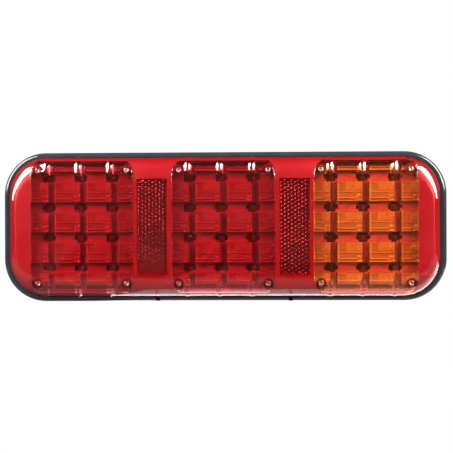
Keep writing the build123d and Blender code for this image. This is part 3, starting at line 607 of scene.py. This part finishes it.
def module_beads():
    """A low round bead on the lens along each module's outline."""
    made = Parts()
    for side_x in MODULE_X.values():
        path = outline(MODULE_W - BEAD_INSET, MODULE_H, MODULE_R, x=side_x, **BEAD_COUNTS)
        path = level_with(path, BEAD_TOP)
        steps = [hypot(x - path[i - 1][0], z - path[i - 1][1]) for i, (x, z) in enumerate(path)]
        path = [point for point, step in zip(path, steps) if step > BEAD_MIN_STEP]
        depths = dome_depth(np.array([x for x, z in path]), np.array([z for x, z in path]), 0.0)
        rings = []
        for i, (x, z) in enumerate(path):
            (ax, az), (bx, bz) = path[i - 1], path[(i + 1) % len(path)]
            run = hypot(bx - ax, bz - az)
            out_x, out_z = (bz - az) / run, (ax - bx) / run
            r = BEAD_R * (BEAD_LEVEL_SHARE if abs(z) > BEAD_TOP - TOUCH else 1.0)
            ring = []
            for k in range(BEAD_SIDES):
                out, forward = r * cos(tau * k / BEAD_SIDES), r * sin(tau * k / BEAD_SIDES)
                ring.append((x + out_x * out, depths[i] + forward, z + out_z * out))
            rings.append(ring)
        made.rings(rings + [rings[0]], capped=False)
    return made


def release_ribs():
    """Two slanted ribs over the base's release notches, and a short crease at each lower corner."""
    made = Parts()
    for way in (-1, 1):
        foot, tip = way * (NOTCH_X + RIB_FOOT_SHIFT), way * (NOTCH_X + RIB_TIP_SHIFT)
        rib = [(foot, RIB_FOOT_Z), (foot - way * RIB_W, RIB_FOOT_Z),
               (tip - way * RIB_W, RIB_TIP_Z), (tip, RIB_TIP_Z)]
        made.include(prism(rib, RIB_BACK, RIB_FRONT))
        crease = outline(
            CREASE_L, CREASE_W, CREASE_W / 4, x=way * CREASE_X, z=-PLATEAU_H / 2 + CREASE_W, arc=3
        )
        made.include(prism(crease, CREASE_BACK, DEPTH + CREASE_PROUD))
    return made


def reflector_outline(x, gap=0.0):
    """A retroreflector's outline about x, with a gap round it."""
    return outline(REFLECTOR_W + 2 * gap, REFLECTOR_H + 2 * gap, REFLECTOR_R, x=x, arc=2)


def amber_window(gap):
    """Everything over the amber module's place, with a gap round it."""
    window = outline(MODULE_W + 2 * gap, MODULE_H + 2 * gap, MODULE_R, x=MODULE_X["right"])
    return prism(window, WINDOW_BACK - gap, CLEAR_FRONT)


def build_lenses():
    """One dome, parted into the amber lens and the red lens round it."""
    whole = shell("lens_shell", 0.0, LENS_T, LENS_SEAT, ribbed=True)
    whole = cut(whole, module_beads(), "UNION")
    whole = cut(whole, release_ribs(), "UNION")
    amber = cut(whole.copy(), amber_window(0.0), "INTERSECT")
    amber = with_pillars(amber, screw_places(MODULE_X["right"]))
    dressed("amber_lens_shell", amber, "amber_acrylic", "lamp_head", ["amber_lens"])
    openings = amber_window(WINDOW_GAP)
    for x in (-REFLECTOR_X, REFLECTOR_X):
        openings.include(prism(reflector_outline(x, REFLECTOR_GAP), PILLAR_BASE, CLEAR_FRONT))
    red = cut(whole, openings)
    red = with_pillars(red, screw_places(MODULE_X["left"]) + screw_places(MODULE_X["centre"]))
    dressed("red_lens_shell", red, "red_acrylic", "lamp_head", ["red_lens"])


def build_bezel():
    """The solid red moulding behind the red lens, open over the modules and the retroreflectors."""
    mesh = shell("bezel_shell", BEZEL_INSET, BEZEL_T, BEZEL_BASE, foot=(BEZEL_BASE, LENS_SEAT + WELD_LAP))
    modules = [level_with(outline(MODULE_W, MODULE_H, MODULE_R, x=x), LINER_H / 2) for x in MODULE_X.values()]
    reflectors = [reflector_outline(x) for x in (-REFLECTOR_X, REFLECTOR_X)]
    for outlines in (modules, reflectors):
        openings = Parts()
        for opening in outlines:
            openings.include(prism(opening, BEZEL_RING_TOP, CLEAR_FRONT))
        mesh = cut(mesh, openings)
    places = [place for side_x in MODULE_X.values() for place in screw_places(side_x)]
    mesh = cut(mesh, cylinders(places, PILLAR_R + PILLAR_GAP, BEZEL_BASE - 1, CLEAR_FRONT))
    dressed("inner_bezel_shell", mesh, "red_bezel", "lamp_head", ["inner_bezel"])


CUBE_ACROSS = 2.56
CUBE_LAND = 0.18
CUBE_LIFT = 0.05
CUBE_BORDER = 0.2


def build_reflector(name, centre_x, node):
    """A block whose back is a field of cube corners, each one a hexagon seen from the front."""
    radius = CUBE_ACROSS / 3 ** 0.5
    inner = radius - CUBE_LAND
    step = CUBE_ACROSS / 6 ** 0.5 * inner / radius
    flange = REFLECTOR_BACK + 2 * step + CUBE_LIFT
    columns = int((REFLECTOR_W - 0.5 * radius - 2 * CUBE_BORDER) / (1.5 * radius))
    work = bmesh.new()
    places = {}

    def vertex(x, depth, z):
        key = (round(x, 3), round(depth, 3), round(z, 3))
        if key not in places:
            places[key] = work.verts.new((x * MM, -depth * MM, z * MM))
        return places[key]

    for column in range(columns):
        x = centre_x + (column - (columns - 1) / 2) * 1.5 * radius
        shift = 0.5 * CUBE_ACROSS * (column % 2)
        rows = int((REFLECTOR_H - 2 * CUBE_BORDER - shift) / CUBE_ACROSS)
        for row in range(rows):
            z = -REFLECTOR_H / 2 + CUBE_BORDER + shift + (row + 0.5) * CUBE_ACROSS
            apex = vertex(x, REFLECTOR_BACK + CUBE_LIFT, z)
            rim, land = [], []
            for corner in range(6):
                turn = tau * corner / 6
                depth = flange - step * ((corner + 1) % 2)
                rim.append(vertex(x + inner * cos(turn), depth, z + inner * sin(turn)))
                land.append(vertex(x + radius * cos(turn), flange, z + radius * sin(turn)))
            for corner in range(6):
                after = (corner + 1) % 6
                work.faces.new((rim[corner], rim[after], land[after], land[corner]))
            for corner in (0, 2, 4):
                work.faces.new((apex, rim[corner], rim[corner + 1], rim[(corner + 2) % 6]))
    rim_edges = []
    for edge in [edge for edge in work.edges if edge.is_boundary]:
        ends = [vertex(end.co.x / MM, flange, end.co.z / MM) for end in edge.verts]
        corners = list(dict.fromkeys([edge.verts[0], edge.verts[1], ends[1], ends[0]]))
        if len(corners) > 2:
            work.faces.new(corners)
        rim_edges.append(work.edges.get(ends) or work.edges.new(ends))
    box = reflector_outline(centre_x)
    back = [work.verts.new((x * MM, -flange * MM, z * MM)) for x, z in box]
    front = [work.verts.new((x * MM, -DEPTH * MM, z * MM)) for x, z in box]
    count = len(box)
    for i in range(count):
        j = (i + 1) % count
        work.faces.new((back[i], back[j], front[j], front[i]))
    work.faces.new(front)
    frame_edges = [work.edges.get((back[i], back[(i + 1) % count])) for i in range(count)]
    bmesh.ops.triangle_fill(work, edges=frame_edges + rim_edges, use_beauty=True)
    mesh = bpy.data.meshes.new(name)
    work.to_mesh(mesh)
    work.free()
    dressed(name, mesh, "reflex_acrylic", "lamp_head", [node], sharp=5.0)


# --- LED modules ----------
def module_grid(side_x, width, height, radius, columns, rows):
    """Arrays of x and z over a rounded square, row by row, the rows growing narrower at its rounded ends."""
    z = np.linspace(-height / 2, height / 2, rows)
    past = np.clip(np.abs(z) - (height / 2 - radius), 0, radius)
    half = width / 2 - radius + np.sqrt(radius ** 2 - past ** 2)
    across = np.linspace(-1, 1, columns)
    return side_x + half[:, None] * across[None, :], np.repeat(z[:, None], columns, axis=1)


def grid_faces(columns, rows, start=0):
    """Four-sided faces over a grid of points kept row by row."""
    return [
        (start + r * columns + c, start + r * columns + c + 1,
         start + (r + 1) * columns + c + 1, start + (r + 1) * columns + c)
        for r in range(rows - 1) for c in range(columns - 1)
    ]


def grid_border(columns, rows):
    """Indices once round a grid of points kept row by row."""
    first = [row * columns for row in range(rows)]
    top = [(rows - 1) * columns + column for column in range(1, columns)]
    last = [row * columns + columns - 1 for row in range(rows - 2, -1, -1)]
    return first + top + last + list(range(columns - 2, 0, -1))


OPTIC_COLUMNS = 201
OPTIC_ROWS = 181
OPTIC_DROP = 0.35
PILLOW_HEIGHT = 0.25
FINE_RIB_HEIGHT = 0.2
FINE_RIBS_PER_LED = 8
COMB_HEIGHT = 0.09
COMB_TEETH_PER_LED = 11
COMB_REACH = 1.5
COMB_FADE = 6.0


def build_optic(side):
    """The inner optic: pillow columns and a comb over the LEDs in front, fine level ribs on its back."""
    side_x = MODULE_X[side]
    columns, rows = OPTIC_COLUMNS, OPTIC_ROWS
    x, z = module_grid(side_x, OPTIC_W, FILL_H, MODULE_R - MODULE_R_GAP, columns, rows)
    local = (x - side_x) / LED_PITCH_X
    pillow = PILLOW_HEIGHT * np.abs(np.sin(pi * local))
    to_led = (local - LED_SHIFT / LED_PITCH_X + 0.5) % 1.0 - 0.5
    over_led = np.clip(COMB_REACH - COMB_FADE * np.abs(to_led), 0, 1)
    comb = COMB_HEIGHT * np.cos(tau * to_led * COMB_TEETH_PER_LED) * over_led
    front = dome_depth(x, z, OPTIC_INSET) - OPTIC_DROP + pillow + comb
    level = (z - LED_ROW_SHIFT) / LED_PITCH_Z
    wave = 0.5 - 0.5 * np.cos(tau * FINE_RIBS_PER_LED * level)
    ribs = FINE_RIB_HEIGHT * wave * np.sqrt(np.abs(np.sin(pi * (level - 0.5))))
    back = dome_depth(x, z, OPTIC_INSET + OPTIC_T) - FINE_RIB_HEIGHT + ribs
    count = columns * rows
    points = [(a, d, b) for a, d, b in zip(x.ravel(), front.ravel(), z.ravel())]
    points += [(a, d, b) for a, d, b in zip(x.ravel(), back.ravel(), z.ravel())]
    faces = grid_faces(columns, rows) + grid_faces(columns, rows, count)
    border = grid_border(columns, rows)
    for here, after in zip(border, border[1:] + border[:1]):
        faces.append((here, after, after + count, here + count))
    slot = "amber_optic" if side == "right" else "red_optic"
    plate = Parts()
    plate.add(points, faces)
    mesh = cut(plate.mesh("optic"), cylinders(screw_places(side_x), PILLAR_R + PILLAR_GAP, 10, CLEAR_FRONT))
    dressed(f"optic_{side}", mesh, slot, "lamp_head", [f"optic_plate_{side}"], sharp=50.0)


PAD_COLUMNS = 56
PAD_ROWS = 48
PAD_BEVEL = 0.5
PAD_LAP = 0.2
RIDGE_STEEPNESS = 1.6
TRAY_BORDER = 0.3


def spans(centres, slot, low, high):
    """The stretches between slots of one width at these centres."""
    edges = [low] + [c + s * slot / 2 for c in centres for s in (-1, 1)] + [high]
    return list(zip(edges[::2], edges[1::2]))


def ridge(away, half_width):
    """A bevelled ridge from 0 to 1, from the distance to its middle line."""
    return np.clip(RIDGE_STEEPNESS * (1 - np.abs(away) / half_width), 0, 1)


# A pad's pattern, as distances from its sides
RIPPLE = 0.15
PATCH_W = 6.0
SUNK_PATCH_H = 6.6
RAISED_PATCH_H = 6.0
FOOT_RIDGES = (0.9, 2.5)
FOOT_RIDGE_END = 3.6
FOOT_GROOVE = 1.7
MIDDLE_RIDGE = 6.6
TOP_RIDGE = 0.9
TOP_RIDGE_END = 5.5
SIDE_RIDGE = 0.9
UPRIGHT_GROOVE = 4.2
UPRIGHT_GROOVE_END = 4.5
PAD_STUD_R = 0.75
PAD_STUD_COLUMNS = (1.0, 3.0)
PAD_STUDS_BELOW = (1.2, 4.0)
PAD_STUDS_ABOVE = (1.2, 3.0)


def pad_relief(left, right, down, up):
    """Relief of a tray pad from -1 to 1, from the distances to its left, right, lower and upper sides."""
    relief = RIPPLE * np.sin(left * 2.1 + down * 0.9) * np.sin(down * 2.6)
    sunk_patch = (left < PATCH_W) * (up < SUNK_PATCH_H)
    raised_patch = (left > PATCH_W) * (up < RAISED_PATCH_H)
    relief = relief - 0.9 * sunk_patch + 0.35 * raised_patch
    for at in FOOT_RIDGES:
        relief = np.maximum(relief, ridge(down - at, half_width=0.45) * (right > FOOT_RIDGE_END))
    relief = np.minimum(relief, 1 - 1.7 * ridge(down - FOOT_GROOVE, half_width=0.4))
    relief = np.maximum(relief, 0.8 * ridge(down - MIDDLE_RIDGE, half_width=0.35))
    relief = np.maximum(relief, ridge(up - TOP_RIDGE, half_width=0.5) * (left < TOP_RIDGE_END))
    relief = np.maximum(relief, 0.8 * ridge(left - SIDE_RIDGE, half_width=0.4))
    groove = 1.9 * ridge(right - UPRIGHT_GROOVE, half_width=0.4) * (up > UPRIGHT_GROOVE_END)
    relief = np.minimum(relief, 1 - groove)
    studs = [down - at for at in PAD_STUDS_BELOW] + [up - at for at in PAD_STUDS_ABOVE]
    for across in PAD_STUD_COLUMNS:
        for along in studs:
            relief = np.maximum(relief, ridge(np.hypot(right - across, along), PAD_STUD_R))
    return relief


def add_pad(parts, side_x, x0, x1, z0, z1):
    """One raised pad of the light tray, bevelled round its top."""
    u, v = np.meshgrid(np.linspace(0, 1, PAD_COLUMNS), np.linspace(0, 1, PAD_ROWS))
    x, z = x0 + (x1 - x0) * u, z0 + (z1 - z0) * v
    top = np.minimum(TRAY_TOP, dome_depth(x + side_x, z, PAD_INSET))
    edge = np.minimum(np.minimum(x - x0, x1 - x), np.minimum(z - z0, z1 - z))
    top = top - np.clip(PAD_BEVEL - edge, 0, None)
    top = top + RELIEF * pad_relief(x - x0, x1 - x, z - z0, z1 - z) * np.clip(edge / PAD_BEVEL, 0, 1)
    points = list(zip(x.ravel(), top.ravel(), z.ravel()))
    faces = grid_faces(PAD_COLUMNS, PAD_ROWS)
    border = grid_border(PAD_COLUMNS, PAD_ROWS)
    start = len(points)
    points += [(points[i][0], TRAY_FLOOR - PAD_LAP, points[i][2]) for i in border]
    for i, here in enumerate(border):
        after = (i + 1) % len(border)
        faces.append((here, border[after], start + after, start + i))
    faces.append(tuple(range(start, start + len(border))))
    parts.add([(px + side_x, pd, pz) for px, pd, pz in points], faces)


def led_places(side_x):
    """(x, z) of a module's twelve LEDs."""
    return [(side_x + column + LED_SHIFT, row) for column in LED_COLUMNS for row in LED_ROWS]


def build_tray(side):
    """The light tray: a plate with a slot round each LED, then the raised pads and screw posts on it."""
    side_x = MODULE_X[side]
    slot = "amber_tray" if side == "right" else "red_tray"
    plate = prism(outline(TRAY_W, TRAY_H, MODULE_R - MODULE_R_GAP, x=side_x), TRAY_BACK, TRAY_FLOOR)
    windows = Parts()
    for x, z in led_places(side_x):
        window = outline(LED_SLOT_W, LED_SLOT_H, LED_SLOT_H / 2 - TOUCH, x=x, z=z)
        windows.include(prism(window, TRAY_BACK - 1, TRAY_FLOOR + 1))
    plate = cut(plate.mesh("tray_plate"), windows)
    plate = cut(plate, cylinders(screw_places(side_x), SCREW_HOLE_R, TRAY_BACK - 1, TRAY_FLOOR + 1))
    pads = Parts()
    half = TRAY_W / 2 - TRAY_BORDER
    for x0, x1 in spans(LED_COLUMNS, SLOT_W, -half, half):
        for z0, z1 in spans(LED_ROWS, SLOT_H, -FILL_H / 2, FILL_H / 2):
            add_pad(pads, side_x, x0, x1, z0, z1)
    posts = cylinders(screw_places(side_x), PILLAR_R, TRAY_FLOOR - PAD_LAP, PILLAR_BASE)
    pads = cut(pads.mesh("pads"), posts, "UNION")
    pads = cut(pads, cylinders(screw_places(side_x), SCREW_HOLE_R, TRAY_BACK - 1, DEPTH))
    dressed(f"tray_plate_{side}", plate, slot, "lamp_head", [f"reflector_tray_{side}"])
    dressed(f"tray_pads_{side}", pads, slot, "lamp_head", sharp=40.0)


LED_W = 5.0
LED_R = 0.5
LED_LEVELS = ((0.15, 0.0), (0.0, 0.2), (0.0, 1.35), (0.25, 1.6))
LED_DOME_R = 1.9
LED_DOME_H = 0.95
LED_DOME_BASE = 1.55
LED_DOME_TURNS = np.linspace(0, 1.45, 9)


def build_leds(side):
    """Twelve LED packages: a bevelled body, from (inset, depth) levels, and a dome."""
    parts = Parts()
    for x, z in led_places(MODULE_X[side]):
        rings = []
        for inset, depth in LED_LEVELS:
            ring = outline(LED_W - 2 * inset, LED_W - 2 * inset, LED_R, x=x, z=z, arc=3)
            rings.append([(a, BOARD_FRONT + depth, b) for a, b in ring])
        parts.rings(rings)
        dome_base = BOARD_FRONT + LED_DOME_BASE
        dome = [(LED_DOME_R * cos(turn), dome_base + LED_DOME_H * sin(turn)) for turn in LED_DOME_TURNS]
        parts.turned(dome, x, z, steps=28)
    name = f"led_array_{side}"
    dressed(name, parts.mesh(name), "led_package", "lamp_head", [f"leds_{side}"])


THREAD_SHARE = 0.55
RUNOUT_PITCHES = 1 / 3
RUNOUT_SHARE = 0.6


def threaded(parts, x, z, radius, pitch, start, end, steps=24, per_pitch=8):
    """A screw thread about the depth axis from start to end, run out at both."""
    count = int(abs(end - start) / pitch * per_pitch)
    deep = THREAD_SHARE * pitch
    rings = []
    for i in range(count + 1):
        depth = start + (end - start) * i / count
        taper = min(1.0, min(i, count - i) / per_pitch / RUNOUT_PITCHES)
        ring = []
        for s in range(steps):
            phase = (i / per_pitch - s / steps) % 1.0
            r = radius - deep * taper * abs(2 * phase - 1) - (1 - taper) * deep * RUNOUT_SHARE
            ring.append((x + r * cos(tau * s / steps), depth, z + r * sin(tau * s / steps)))
        rings.append(ring)
    parts.rings(rings)


HEAD_R = 1.9
HEAD_T = 1.6
HEAD_DROP = 0.63
HEAD_FLAT = 0.6
HEAD_STEPS = 64
HEAD_RINGS = 22
CROSS_HALF_W = 0.42
CROSS_WALL = 0.12
CROSS_REACH = 1.3
CROSS_END = 0.2
CROSS_DEPTH = 0.9
CROSS_TAPER = 0.3
SHANK_R = 1.1
SHANK_PITCH = 0.6


def head_height(a, b):
    """Height of a screw head's surface over its seat, domed at its edge, at (a, b) from its middle."""
    past = max(0.0, hypot(a, b) / HEAD_R - HEAD_FLAT) / (1 - HEAD_FLAT)
    along, aside = max(abs(a), abs(b)), min(abs(a), abs(b))
    inside = 1.0
    for within, wall in ((CROSS_HALF_W - aside, CROSS_WALL), (CROSS_REACH - along, CROSS_END)):
        inside *= min(max(within / wall, 0), 1)
    return HEAD_T - HEAD_DROP * past ** 1.6 - CROSS_DEPTH * inside * (1 - CROSS_TAPER * along)


def build_screws(side):
    """Four pan-head screws with a cross recess."""
    parts = Parts()
    turns = [tau * i / HEAD_STEPS for i in range(HEAD_STEPS)]
    for x, z in screw_places(MODULE_X[side]):
        rings = [[(x + HEAD_R * cos(turn), SCREW_SEAT, z + HEAD_R * sin(turn)) for turn in turns]]
        for step in range(HEAD_RINGS):
            r = HEAD_R * (1 - step / HEAD_RINGS)
            spots = [(r * cos(turn), r * sin(turn)) for turn in turns]
            rings.append([(x + a, SCREW_SEAT + head_height(a, b), z + b) for a, b in spots])
        parts.rings(rings)
        threaded(parts, x, z, SHANK_R, SHANK_PITCH, SCREW_SEAT, SCREW_TIP, steps=14, per_pitch=6)
    name = f"screws_{side}"
    dressed(name, parts.mesh(name), "bright_steel", "lamp_head", [f"module_screws_{side}"], sharp=45.0)


STUD_HEX = 10 / 3 ** 0.5
STUD_R = 3.0
STUD_PITCH = 1.0
# (radius, depth) pairs of the hexagon, the neck and the tip
STUD_HEAD = ((STUD_HEX, 4.0), (STUD_HEX, 7.5), (0.89 * STUD_HEX, 8.0))
STUD_NECK = ((3.4, 4.0), (3.4, 0.0), (3.0, -0.2), (2.6, -1.0))
STUD_TIP = ((2.5, -24.3), (2.5, -24.4), (2.0, -25.0))


def build_studs():
    """Two M6 studs: a chamfered hexagon held in the base, a neck, a thread and a tip."""
    parts = Parts()
    middle, half = centre_of("mounting_studs")[0], size_of("mounting_studs")[0] / 2 - STUD_HEX
    for x in (middle - half, middle + half):
        parts.turned(STUD_HEAD, x, 0.0, 6)
        parts.turned(STUD_NECK, x, 0.0)
        threaded(parts, x, 0.0, STUD_R, STUD_PITCH, STUD_NECK[-1][1], STUD_TIP[1][1])
        parts.turned(STUD_TIP, x, 0.0)
    dressed("threaded_studs", parts.mesh("threaded_studs"), "zinc_steel", "base", ["mounting_studs"])


build_lenses()
build_bezel()
build_reflector("cube_reflector_left", -REFLECTOR_X, "reflex_reflector_left")
build_reflector("cube_reflector_right", REFLECTOR_X, "reflex_reflector_right")
for side in SIDES:
    build_optic(side)
    build_tray(side)
    build_leds(side)
    build_screws(side)
build_studs()


# --- Stage, lights and camera, in metres ----------
FLOOR_Z = -0.15
FLOOR_R = 6.0
FLOOR_STEPS = 64
CARD_LIFT = 0.004
CARD_CORNERS = ((-0.06, -0.09), (0.60, -0.09), (0.60, 0.42), (-0.15, 0.42))
CARD_FADE = 0.03
SOFTBOX_X = 0.78
STUDIO_GREY = 0.08
AIM = Vector((0, -DEPTH / 2 * MM, 0))


def build_floor():
    """A large pale disc, bright to the camera and matt to the rest."""
    shader = Shader("pale_floor", Roughness=0.8)
    shader.colour(shader.blend(shader.noise(3.0), (0.05, 0.05, 0.05), (0.06, 0.06, 0.06)))
    glow = shader.node("ShaderNodeEmission")
    glow.inputs["Strength"].default_value = 1.0
    path = shader.node("ShaderNodeLightPath")
    mix = shader.node("ShaderNodeMixShader")
    shader.link(path.outputs["Is Camera Ray"], mix.inputs["Fac"])
    shader.link(shader.principled.outputs["BSDF"], mix.inputs[1])
    shader.link(glow.outputs["Emission"], mix.inputs[2])
    shader.link(mix.outputs["Shader"], shader.output.inputs["Surface"])
    mesh = bpy.data.meshes.new("floor")
    turns = [tau * i / FLOOR_STEPS for i in range(FLOOR_STEPS)]
    ring = [(FLOOR_R * cos(turn), FLOOR_R * sin(turn), FLOOR_Z) for turn in turns]
    mesh.from_pydata(ring, [], [tuple(range(FLOOR_STEPS))])
    mesh.materials.append(shader.material)
    placed("floor", mesh)


def build_world():
    """White behind the object, and a dim grey studio round it."""
    world = bpy.data.worlds.new("studio")
    bpy.context.scene.world = world
    world.use_nodes = True
    tree = world.node_tree
    background = tree.nodes["Background"]
    background.inputs["Color"].default_value = (1, 1, 1, 1)
    path = tree.nodes.new("ShaderNodeLightPath")
    level = tree.nodes.new("ShaderNodeMapRange")
    level.inputs["To Min"].default_value = STUDIO_GREY
    level.inputs["To Max"].default_value = 1.0
    tree.links.new(path.outputs["Is Camera Ray"], level.inputs["Value"])
    tree.links.new(level.outputs["Result"], background.inputs["Strength"])


def softbox(name, place, width, height, power):
    """A soft rectangular light that the camera doesn't see."""
    light = bpy.data.lights.new(name, "AREA")
    light.shape = "RECTANGLE"
    light.size, light.size_y = width, height
    light.energy = power
    made = placed(name, light)
    aim = (AIM - Vector(place)).to_track_quat("-Z", "Y").to_matrix().to_4x4()
    made.matrix_world = Matrix.Translation(place) @ aim
    made.visible_camera = False


def bounce_card(near, far):
    """A bright card on the floor, seen in reflections only, with its strength rising under the lamp."""
    mesh = bpy.data.meshes.new("floor_card")
    mesh.from_pydata([(x, y, FLOOR_Z + CARD_LIFT) for x, y in CARD_CORNERS], [], [(0, 1, 2, 3)])
    shader = Shader("floor_card")
    glow = shader.node("ShaderNodeEmission")
    split = shader.node("ShaderNodeSeparateXYZ")
    shader.link(shader.place, split.inputs["Vector"])
    shader.link(shader.span(split.outputs["Y"], -CARD_FADE, CARD_FADE, near, far), glow.inputs["Strength"])
    shader.link(glow.outputs["Emission"], shader.output.inputs["Surface"])
    mesh.materials.append(shader.material)
    card = placed("floor_card", mesh)
    card.visible_camera = False
    card.visible_diffuse = False
    card.visible_shadow = False


def build_lights():
    """Two softboxes, above the front at either side, and the card below."""
    for side, way in (("left", -1), ("right", 1)):
        softbox(f"softbox_{side}", (way * SOFTBOX_X, -0.50, 0.50), width=0.65, height=0.85, power=50)
    bounce_card(near=2.0, far=6.0)


def build_camera():
    """Nearly square on, a touch from the amber end, with a long lens."""
    azimuth, distance, roll = radians(3.0), 1.032, radians(-0.2)
    back = Vector((sin(azimuth), -cos(azimuth), 0))
    level = Vector((cos(azimuth), sin(azimuth), 0))
    up = Vector((0, 0, 1))
    right = level * cos(roll) + up * sin(roll)
    camera = bpy.data.cameras.new("camera")
    camera.lens = 127.3
    camera.sensor_width = 36.0
    camera.shift_x = 0.0045
    made = placed("camera", camera)
    turn = Matrix((right, back.cross(right), back)).transposed().to_4x4()
    made.matrix_world = Matrix.Translation(AIM + back * distance) @ turn
    bpy.context.scene.camera = made


build_floor()
build_world()
build_lights()
build_camera()
bpy.context.scene.view_settings.view_transform = "Standard"
bpy.context.scene.cycles.use_denoising = True
